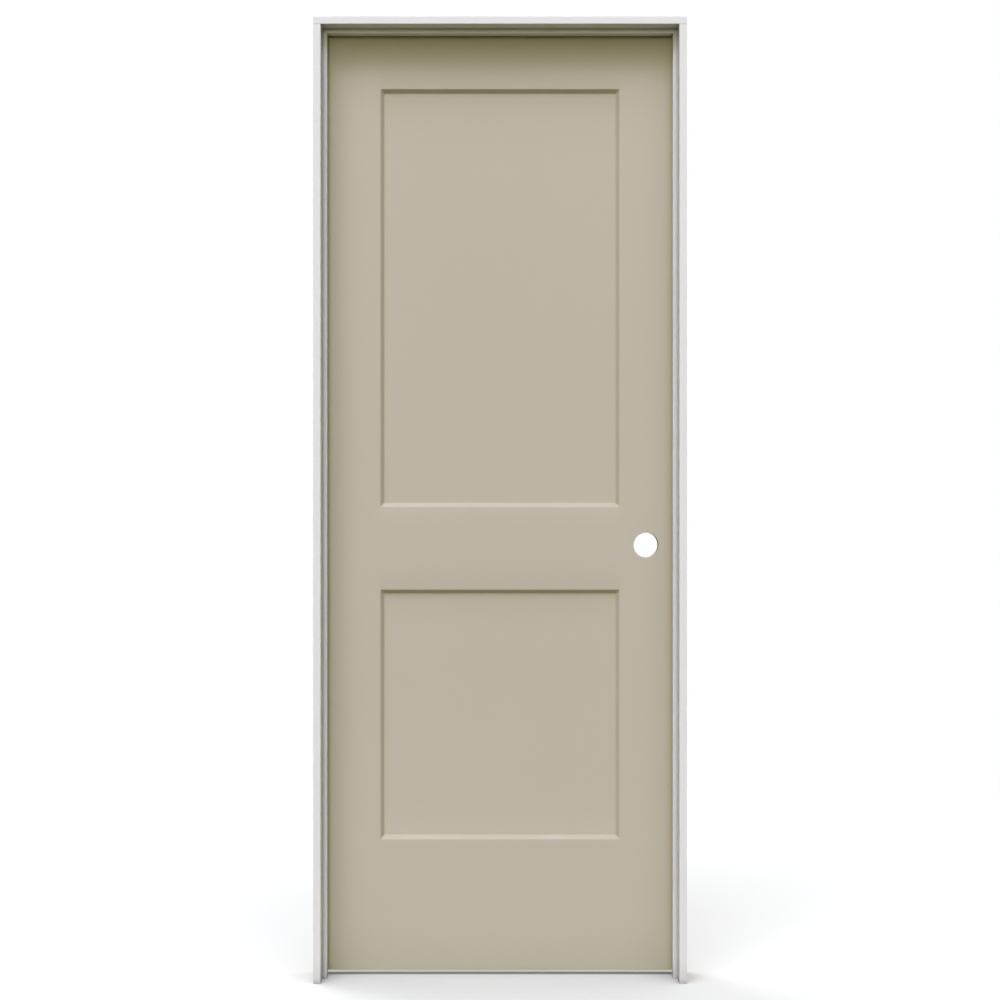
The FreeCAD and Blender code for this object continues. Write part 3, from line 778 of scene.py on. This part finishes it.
def mouldedSkin(name, node, outward):
    # two sheets over one grid; depth behind the slab's face = slope(inset in the panel)
    # + ease(inset in the slab) on the front one, a thickness + slope on the back one
    low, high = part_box(node)
    face = low.y if outward < 0 else high.y
    slopeRun = math.hypot(skin["slopeWidth"], skin["slopeDepth"])
    lap = skin["thickness"] * (slopeRun - skin["slopeWidth"]) / skin["slopeDepth"]
    soft, wide = skin["softness"], skin["slopeWidth"]
    half, tiny = skin["boreSquare"], skin["tiny"]
    rounding = np.linspace(-soft, soft, skin["roundLines"])
    slopeSteps = np.concatenate([rounding, [wide / 2], rounding + wide])
    quarter = np.linspace(0.0, math.pi / 2, skin["roundLines"])
    easeSteps = skin["easedEdge"] * (1.0 - np.cos(quarter))
    boreX, boreZ, boreRadius = skin["bore"]
    boreSteps = np.linspace(-half, half, skin["boreLines"])
    lockEdge = high.x if outward > 0 else high.x - skin["edgeLean"] * skin["thickness"]
    panelLeft = low.x + skin["panelInset"]
    panelRight = skin["widestEdge"] - skin["panelInset"]
    gainFeet = [rise - skin["gainClear"] for rise in skin["leafHeights"]]
    gainLines = np.array([(foot, foot + skin["gainHigh"]) for foot in gainFeet])
    panelHeights = (skin["lowerPanel"], skin["upperPanel"])
    margin = skin["middleMargin"]
    middleAcross, middleUp = skin["middleLines"]

    def linesAcross(shift):
        middle = np.linspace(panelLeft + margin, panelRight - margin, middleAcross)
        return np.concatenate(
            [
                low.x + easeSteps,
                [low.x + skin["gainDeep"], low.x + skin["stileLine"]],
                panelLeft - shift + slopeSteps,
                middle,
                (panelRight + shift - slopeSteps)[::-1],
                boreX + boreSteps,
                (lockEdge - easeSteps)[::-1],
            ]
        )

    def linesUp(shift):
        lines = [low.z + easeSteps, high.z - easeSteps, gainLines.ravel(), boreZ + boreSteps]
        for foot, top in panelHeights:
            middle = np.linspace(foot + margin, top - margin, middleUp)[1:-1]
            lines += [foot - shift + slopeSteps, top + shift - slopeSteps, middle]
        return np.sort(np.concatenate(lines))

    def sheet(shift, base, eased):
        across, up = np.meshgrid(linesAcross(shift), linesUp(shift), indexing="ij")
        depth = np.zeros_like(across)
        for foot, top in panelHeights:
            corners = (panelLeft - shift, foot - shift), (panelRight + shift, top + shift)
            depth += slopeAt(insetIn(across, up, *corners))
        if eased:
            inset = insetIn(across, up, (low.x, low.z), (lockEdge, high.z))
            depth += easeAt(inset, skin["easedEdge"])
        y = face - outward * (base + depth)
        leaning = across >= lockEdge - skin["easedEdge"] - tiny
        across = across + np.where(leaning, skin["edgeLean"] * (y - face), 0.0)
        return np.stack([across, y, up], axis=2)

    front = sheet(0.0, 0.0, True)
    back = sheet(lap, skin["thickness"], False)
    count = front.shape[0] * front.shape[1]
    numbers = np.arange(count).reshape(front.shape[:2])
    xLines, zLines = linesAcross(0.0), linesUp(0.0)
    xMid, zMid = (xLines[1:] + xLines[:-1]) / 2, (zLines[1:] + zLines[:-1]) / 2
    cellX, cellZ = np.meshgrid(xMid, zMid, indexing="ij")
    inBore = (abs(cellX - boreX) < half) & (abs(cellZ - boreZ) < half)
    inGain = np.zeros_like(inBore)
    if outward > 0:
        for foot, top in gainLines:
            inGain |= (cellX < low.x + skin["gainDeep"]) & (cellZ > foot) & (cellZ < top)
    kept = ~(inBore | inGain)

    # each cell is split along the diagonal that runs to its panel's middle, so mitres stay sharp
    panelZ = np.where(cellZ < boreZ, sum(skin["lowerPanel"]) / 2, sum(skin["upperPanel"]) / 2)
    turned = ((cellX - (panelLeft + panelRight) / 2) * (cellZ - panelZ) < 0)[kept][:, None]
    plain = np.stack([corner[kept] for corner in gridCells(numbers)], axis=1)
    frontFaces = np.where(turned, np.roll(plain, -1, axis=1), plain)
    backFaces = frontFaces[:, [0, 3, 2, 1]] + count

    # walls along every border of the kept cells except the bore's square
    solid = np.pad(~inGain, 1)
    walls = []
    for axis in (0, 1):
        before = solid[:-1, 1:-1] if axis == 0 else solid[1:-1, :-1]
        after = solid[1:, 1:-1] if axis == 0 else solid[1:-1, 1:]
        first = numbers[:, :-1] if axis == 0 else numbers[:-1, :]
        second = numbers[:, 1:] if axis == 0 else numbers[1:, :]
        opens, closes = after & ~before, before & ~after
        a, b = (first[opens], second[opens]), (first[closes], second[closes])
        if axis == 1:
            a, b = b, a
        walls.append(np.stack([a[0], a[1], a[1] + count, a[0] + count], axis=1))
        walls.append(np.stack([b[0], b[0] + count, b[1] + count, b[1]], axis=1))
    wallFaces = np.concatenate(walls)

    # the bore: rings from the front's square to a circle, over an eased lip, through the skin,
    # and out to the back's square
    across = np.flatnonzero(abs(xLines - boreX) < half + tiny)
    up = np.flatnonzero(abs(zLines - boreZ) < half + tiny)
    block = numbers[across[0] : across[-1] + 1, up[0] : up[-1] + 1]
    loop = squareLoop(block)
    points = np.concatenate([front.reshape(-1, 3), back.reshape(-1, 3)])
    squareX, squareZ = points[loop, 0], points[loop, 2]
    angles = roundAngles(loop)
    lip = boreRadius + skin["boreEase"]

    def ring(mix, radius, depth):
        x = (1 - mix) * squareX + mix * (boreX + radius * np.cos(angles))
        z = (1 - mix) * squareZ + mix * (boreZ + radius * np.sin(angles))
        return np.stack([x, np.full_like(x, face - outward * depth), z], axis=1)

    ease = skin["boreEase"]
    rings = [ring(mix, lip, 0.0) for mix in skin["boreRings"]]
    for a in np.linspace(0.0, math.pi / 2, skin["lipLines"]):
        rings.append(ring(1.0, lip - ease * math.sin(a), ease * (1 - math.cos(a))))
    rings.append(ring(1.0, boreRadius, skin["thickness"]))
    rings += [ring(mix, lip, skin["thickness"]) for mix in skin["boreRings"][1::-1]]
    loops = [loop]
    for piece in rings:
        loops.append(len(points) + np.arange(len(loop)))
        points = np.concatenate([points, piece])
    loops.append(loop + count)
    chainFaces = np.concatenate([ringFaces(*pair) for pair in zip(loops[:-1], loops[1:])])

    faces = np.concatenate([frontFaces, backFaces, wallFaces, chainFaces])
    # the board's cut edge shows from the foot of the lip through the skin
    slots = np.zeros(len(faces), int)
    cutRing = len(skin["boreRings"]) + skin["lipLines"] - 1
    wallStart = len(faces) - len(chainFaces) + len(loop) * cutRing
    slots[wallStart : wallStart + 2 * len(loop)] = 1
    if outward > 0:
        faces = faces[:, [0, 3, 2, 1]]
    points, faces = compact(points, faces)
    made = meshObject(name, points, faces.tolist(), [slabPaint, boardEdge], slots)
    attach(made, "door_slab")
    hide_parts(node)
    return made


for name, node, outward in (
    ("pushSideSkin", "push_side_skin", -1),
    ("pullSideSkin", "pull_side_skin", 1),
):
    made = mouldedSkin(name, node, outward)
    print(name, "faces:", len(made.data.polygons))


# hinges
hinge = {
    "axis": (0.0185, 0.0671),  # pin's place across and deep
    "leafEdge": 0.00035,  # rounding of the leaf's arrises
    "arrisAngle": 40.0,
    "mergeReach": 1e-6,
    "flatAngle": 1.0,  # degrees under which neighbouring faces are joined
    "flatArea": 0.0003,  # larger faces stay flat, smaller ones belong to the barrels
    "pinRadius": 0.003,
    "pinSides": 32,
    "pinTip": ((0.55, 0.0), (0.9, 0.0004), (1.0, 0.001)),  # share of the radius, height
    "headRadius": 0.005,
    "headHigh": 0.0025,
    "headEase": 0.0003,
    "headDome": 0.0008,
    "leafHigh": 0.089,
    "leafDeep": 0.029,
    "jambFace": 0.016,
    "doorFace": 0.021,
    "screwInset": 0.0095,
    "screwStagger": 0.0095,
    "screwEnd": 0.016,
    "screwTurns": (25.0, 72.0, 119.0),  # degrees that each screw of a leaf is turned
    "screwSmooth": 35.0,
    "headOfScrew": 0.004,
    "rimOfScrew": ((-0.00015, 0.0), (0.0, 0.00015), (-0.0001, 0.00035)),  # past the head, down
    "shankOfScrew": 0.002,
    "screwLong": 0.014,
    "screwPoint": 0.004,
    "leafThick": 0.002,
    "recessArm": 0.0024,  # half the cross recess
    "recessHalf": 0.00055,
    "recessDeep": 0.0016,
    "recessTaper": 1.15,
}
hingePlaces = ("bottom", "middle", "top")


def bevelledLeaf(name, node, body):
    # the node's own form, merged and flat faces joined, with its arrises rounded
    copy = nodes[node].data.copy()
    work = bmesh.new()
    work.from_mesh(copy)
    bmesh.ops.remove_doubles(work, verts=work.verts, dist=hinge["mergeReach"])
    flat = math.radians(hinge["flatAngle"])
    bmesh.ops.dissolve_limit(work, angle_limit=flat, verts=work.verts, edges=work.edges)
    work.to_mesh(copy)
    work.free()
    if copy.has_custom_normals:  # they belong to the loose triangles
        copy.attributes.remove(copy.attributes["custom_normal"])
    copy.materials.clear()
    copy.materials.append(leafNickel)
    copy.name = name
    made = addObject(name, copy)
    sharp = math.radians(hinge["arrisAngle"])
    bevel = made.modifiers.new("arris", "BEVEL")
    bevel.width = hinge["leafEdge"]
    bevel.segments = 2
    bevel.limit_method = "ANGLE"
    bevel.angle_limit = sharp
    areas = np.zeros(len(copy.polygons))
    copy.polygons.foreach_get("area", areas)
    copy.polygons.foreach_set("use_smooth", areas < hinge["flatArea"])
    copy.set_sharp_from_angle(angle=sharp)
    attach(made, body)
    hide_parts(node)


def pinForm(low, high):
    # profile: rounded tip, shaft, button head with a quarter circle up to its flat crown
    shaft, head, dome = hinge["pinRadius"], hinge["headRadius"], hinge["headDome"]
    headStart = high - hinge["headHigh"]
    quarter = np.linspace(0.0, math.pi / 2, 7)
    crown = np.linspace(0.0, 1.0, 5)[1:-1]
    radii = [0.0] + [shaft * share for share, rise in hinge["pinTip"]] + [shaft]
    heights = [low] + [low + rise for share, rise in hinge["pinTip"]] + [headStart]
    radii += [head - hinge["headEase"], head]
    heights += [headStart, headStart + hinge["headEase"]]
    radii += (head - dome + dome * np.cos(quarter)).tolist()
    heights += (high - dome + dome * np.sin(quarter)).tolist()
    radii += ((head - dome) * (1.0 - crown)).tolist() + [0.0]
    heights += [high] * (len(crown) + 1)
    return lathe(radii, heights, hinge["pinSides"])


def screwForm():
    # head: grid over a square, depth = the deeper of two crossed arms that taper to their ends;
    # then rings out to the rim and down the countersink, shank and point. The axis is X, and the
    # head looks out of the leaf at x = 0
    arm, half = hinge["recessArm"], hinge["recessHalf"]
    # lines at the arms' walls, just past them, and at the arms' ends
    steps = np.array([0.0, half * 0.5, half, half * 1.12, arm * 0.5, arm * 0.85, arm])
    lines = np.concatenate([-steps[:0:-1], steps])
    across, up = np.meshgrid(lines, lines, indexing="ij")

    def armDepth(run, side):
        inArm = (abs(side) < half * 1.05) * (abs(run) < arm * 0.9)
        return np.clip(hinge["recessTaper"] - abs(run) / arm, 0.0, 1.0) * inArm

    depth = hinge["recessDeep"] * np.maximum(armDepth(across, up), armDepth(up, across))
    points = np.stack([-depth, across, up], axis=2).reshape(-1, 3)
    numbers = np.arange(len(points)).reshape(across.shape)
    faces = np.stack(gridCells(numbers), axis=2).reshape(-1, 4).tolist()
    loop = squareLoop(numbers)
    angles = roundAngles(loop)
    rim, shank = hinge["headOfScrew"], hinge["shankOfScrew"]
    shaftEnd = hinge["screwLong"] - hinge["screwPoint"]
    profile = [(rim + out, down) for out, down in hinge["rimOfScrew"]]
    profile += [(shank, hinge["leafThick"]), (shank, shaftEnd), (shank / 4, hinge["screwLong"])]
    for radius, down in profile:
        level = np.full(len(loop), -down)
        circle = np.stack([level, radius * np.cos(angles), radius * np.sin(angles)], axis=1)
        nextLoop = len(points) + np.arange(len(loop))
        points = np.concatenate([points, circle])
        faces += ringFaces(nextLoop, loop).tolist()
        loop = nextLoop
    points = np.concatenate([points, [(-hinge["screwLong"], 0.0, 0.0)]])
    tip = np.full(len(loop), len(points) - 1)
    faces += np.stack([loop, tip, np.roll(loop, -1)], axis=1).tolist()
    return points, faces


def screwTrio(name, node, rise, faceX, side, body):
    # three screws of one leaf, heads flush with its outer face; side is the way they look out
    base, shape = screwForm()
    inset, tall = hinge["screwInset"], hinge["leafHigh"]
    spots = [
        (inset, hinge["screwEnd"]),
        (inset + hinge["screwStagger"], tall / 2),
        (inset, tall - hinge["screwEnd"]),
    ]
    allPoints, allFaces = [], []
    for number, (deep, height) in enumerate(spots):
        spin = math.radians(hinge["screwTurns"][number])
        turned = base.copy()
        turned[:, 1] = base[:, 1] * math.cos(spin) - base[:, 2] * math.sin(spin)
        turned[:, 2] = base[:, 1] * math.sin(spin) + base[:, 2] * math.cos(spin)
        turned[:, 0] *= side
        turned += np.array([faceX, hinge["leafDeep"] + deep, rise + height])
        offset = number * len(base)
        allPoints.append(turned)
        allFaces += [[offset + corner for corner in face[::side]] for face in shape]
    points = np.concatenate(allPoints)
    made = meshObject(name, points, allFaces, [pinNickel], smoothAngle=hinge["screwSmooth"])
    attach(made, body)
    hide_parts(node)


for place, rise in zip(hingePlaces, skin["leafHeights"]):
    title = place.capitalize()
    bevelledLeaf("jambLeaf" + title, "jamb_leaf_" + place, "door_frame")
    bevelledLeaf("doorLeaf" + title, "door_leaf_" + place, "door_slab")
    pinNode = "hinge_pin_" + place
    pinLow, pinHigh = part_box(pinNode)
    pinPoints, pinFaces = pinForm(pinLow.z, pinHigh.z)
    pinPoints = pinPoints + np.array([hinge["axis"][0], hinge["axis"][1], 0.0])
    pinPiece = meshObject("hingePin" + title, pinPoints, pinFaces, [pinNickel])
    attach(pinPiece, "door_frame")
    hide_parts(pinNode)
    for leaf, faceX, side, body in (
        ("jamb", hinge["jambFace"], 1, "door_frame"),
        ("door", hinge["doorFace"], -1, "door_slab"),
    ):
        screwTrio(leaf + "Screws" + title, leaf + "_leaf_screws_" + place, rise, faceX, side, body)
print("hinges built")


# floor, lamps and surroundings
studio = {
    "floorHalf": 40.0,
    "floorDrop": 0.0004,  # keeps it just under the feet of the jambs
    "floorColour": (0.37, 0.37, 0.33, 1.0),  # the part of the floor's look that the lamps light
    "speckColour": (0.30, 0.30, 0.27, 1.0),
    "speckScale": 220.0,
    "speckAmount": 0.03,
    "floorGlow": 0.60,  # plain white added to it, less where the door stands close: a painted shadow round the door
    "paintedShadowReach": 2.2,
    "horizonFade": (1.6, 3.6),  # metres from the door over which the floor turns plain white
    "floorBounce": (0.080, 0.073, 0.014, 1.0),  # light that the floor sends back up
    "nearBounce": (0.370, 0.360, 0.270, 1.0),  # the same inside the opening
    "nearFade": (0.22, 0.48),
    "ambient": (0.052, 0.054, 0.011, 1.0),
    "lampDistance": 40.0,
    "tones": {
        "cool": (0.95, 0.96, 1.28),
        "fresh": (0.95, 0.97, 1.12),
        "plain": (0.98, 0.98, 1.04),
        "warm": (1.00, 0.99, 0.68),
    },
    # azimuth from the camera's side, to the right; elevation; half angle, all in degrees;
    # light on a face square to it
    "lamps": {
        "keyLamp": (-13.0, 55.0, 18.0, 0.58, "cool"),
        "leftLamp": (-32.0, 36.0, 12.0, 0.17, "plain"),
        "rightLamp": (27.0, 40.0, 13.0, 0.17, "fresh"),
        "frontLamp": (-3.0, 24.0, 10.0, 0.13, "plain"),
        "lowLamp": (-3.0, 7.0, 7.0, 0.235, "warm"),
        "backLamp": (-155.0, 58.0, 20.0, 0.30, "plain"),
        "backWash": (165.0, 15.0, 13.0, 0.56, "plain"),
        "leftWash": (-102.0, 15.0, 12.0, 0.42, "plain"),
        "rightWash": (102.0, 15.0, 12.0, 0.42, "plain"),
        "floorBackLamp": (-133.0, 49.0, 15.0, 0.60, "fresh"),
        "floorRightLamp": (38.0, 36.0, 13.0, 0.26, "fresh"),
        "floorLeftLamp": (-36.0, 30.0, 12.0, 0.17, "fresh"),
    },
    # these leave the floor out, so that its shadow stays
    "washes": ("backLamp", "backWash", "leftWash", "rightWash"),
    # these light the floor alone, for the sides of its shadow
    "floorLamps": ("floorBackLamp", "floorRightLamp", "floorLeftLamp"),
}

signs = np.array([(-1.0, -1.0, 0.0), (1.0, -1.0, 0.0), (1.0, 1.0, 0.0), (-1.0, 1.0, 0.0)])
floorMiddle = np.array([camera["place"][0], 0.0, -studio["floorDrop"]])
floorPoints = studio["floorHalf"] * signs + floorMiddle


def seenDirectly(tree):
    # 1 for camera, mirror and see-through rays, 0 for the light that the room spreads
    ray = addNode(tree, "LightPath").outputs
    either = maths(tree, "MAXIMUM", ray["Is Camera Ray"], ray["Is Glossy Ray"])
    return maths(tree, "MAXIMUM", either, ray["Is Transmission Ray"])


floorMaterial, tree, place, _ = newFinish("floorPaper")
specks = noise(tree, place, studio["speckScale"], 3.0)
specks = maths(tree, "MULTIPLY", specks, studio["speckAmount"])
paper = mixColour(tree, specks, studio["floorColour"], studio["speckColour"])
lit = addNode(tree, "BsdfDiffuse", {"Color": paper}).outputs[0]
# ambient occlusion dims the glow near the door: a painted shadow on the floor
around = addNode(tree, "AmbientOcclusion", {"Distance": studio["paintedShadowReach"]}, samples=16)
glowLessPaintedShadow = maths(tree, "MULTIPLY", around.outputs["AO"], studio["floorGlow"])
plainWhite = (1.0, 1.0, 1.0, 1.0)
glow = addNode(tree, "Emission", {"Color": plainWhite, "Strength": glowLessPaintedShadow}).outputs[0]
near = addNode(tree, "AddShader", {0: lit, 1: glow}).outputs[0]
white = addNode(tree, "Emission", {"Color": plainWhite, "Strength": 1.0}).outputs[0]
middle = (camera["place"][0], 0.0, 0.0)
away = addNode(tree, "VectorMath", {0: place, 1: middle}, operation="DISTANCE").outputs["Value"]
far = fade(tree, away, *studio["horizonFade"])
seen = addNode(tree, "MixShader", {0: far, 1: near, 2: white}).outputs[0]
outer = fade(tree, away, *studio["nearFade"])
bounce = mixColour(tree, outer, studio["nearBounce"], studio["floorBounce"])
spread = addNode(tree, "BsdfDiffuse", {"Color": bounce}).outputs[0]
both = addNode(tree, "MixShader", {0: seenDirectly(tree), 1: spread, 2: seen}).outputs[0]
addNode(tree, "OutputMaterial", {"Surface": both})
floor = meshObject("floor", floorPoints, [[0, 1, 2, 3]], [floorMaterial])

world = bpy.data.worlds.new("studioWorld")
world.use_nodes = True
tree = world.node_tree
tree.nodes.clear()
backdrop = addNode(tree, "Background", {"Color": plainWhite, "Strength": 1.0}).outputs[0]
fill = addNode(tree, "Background", {"Color": studio["ambient"], "Strength": 1.0}).outputs[0]
chosen = addNode(tree, "MixShader", {0: seenDirectly(tree), 1: fill, 2: backdrop}).outputs[0]
addNode(tree, "OutputWorld", {"Surface": chosen})
scene.world = world


def roundLamp(name, azimuth, elevation, halfAngle, level, tone):
    # a disc facing the door's middle; level * pi^2 * (distance / cos halfAngle)^2 watts light a
    # face square to it with level
    turn, rise, wide = (math.radians(angle) for angle in (azimuth, elevation, halfAngle))
    along = math.cos(rise)
    towards = Vector((math.sin(turn) * along, -math.cos(turn) * along, math.sin(rise)))
    distance = studio["lampDistance"]
    lamp = bpy.data.lights.new(name, "AREA")
    lamp.shape = "DISK"
    lamp.size = 2.0 * distance * math.tan(wide)
    lamp.energy = level * math.pi**2 * (distance / math.cos(wide)) ** 2
    lamp.color = studio["tones"][tone]
    holder = addObject(name, lamp)
    holder.location = Vector((camera["place"][0], 0.0, camera["place"][2])) + towards * distance
    holder.rotation_euler = towards.to_track_quat("Z", "Y").to_euler()
    return holder


receivers = {}
for name, state in (("withoutFloor", "EXCLUDE"), ("floorAlone", "INCLUDE")):
    receivers[name] = bpy.data.collections.new(name)
    receivers[name].objects.link(floor)
    receivers[name].collection_objects[0].light_linking.link_state = state
for name, values in studio["lamps"].items():
    holder = roundLamp(name, *values)
    if name in studio["washes"]:
        holder.light_linking.receiver_collection = receivers["withoutFloor"]
    if name in studio["floorLamps"]:
        holder.light_linking.receiver_collection = receivers["floorAlone"]
print("floor and lamps set")
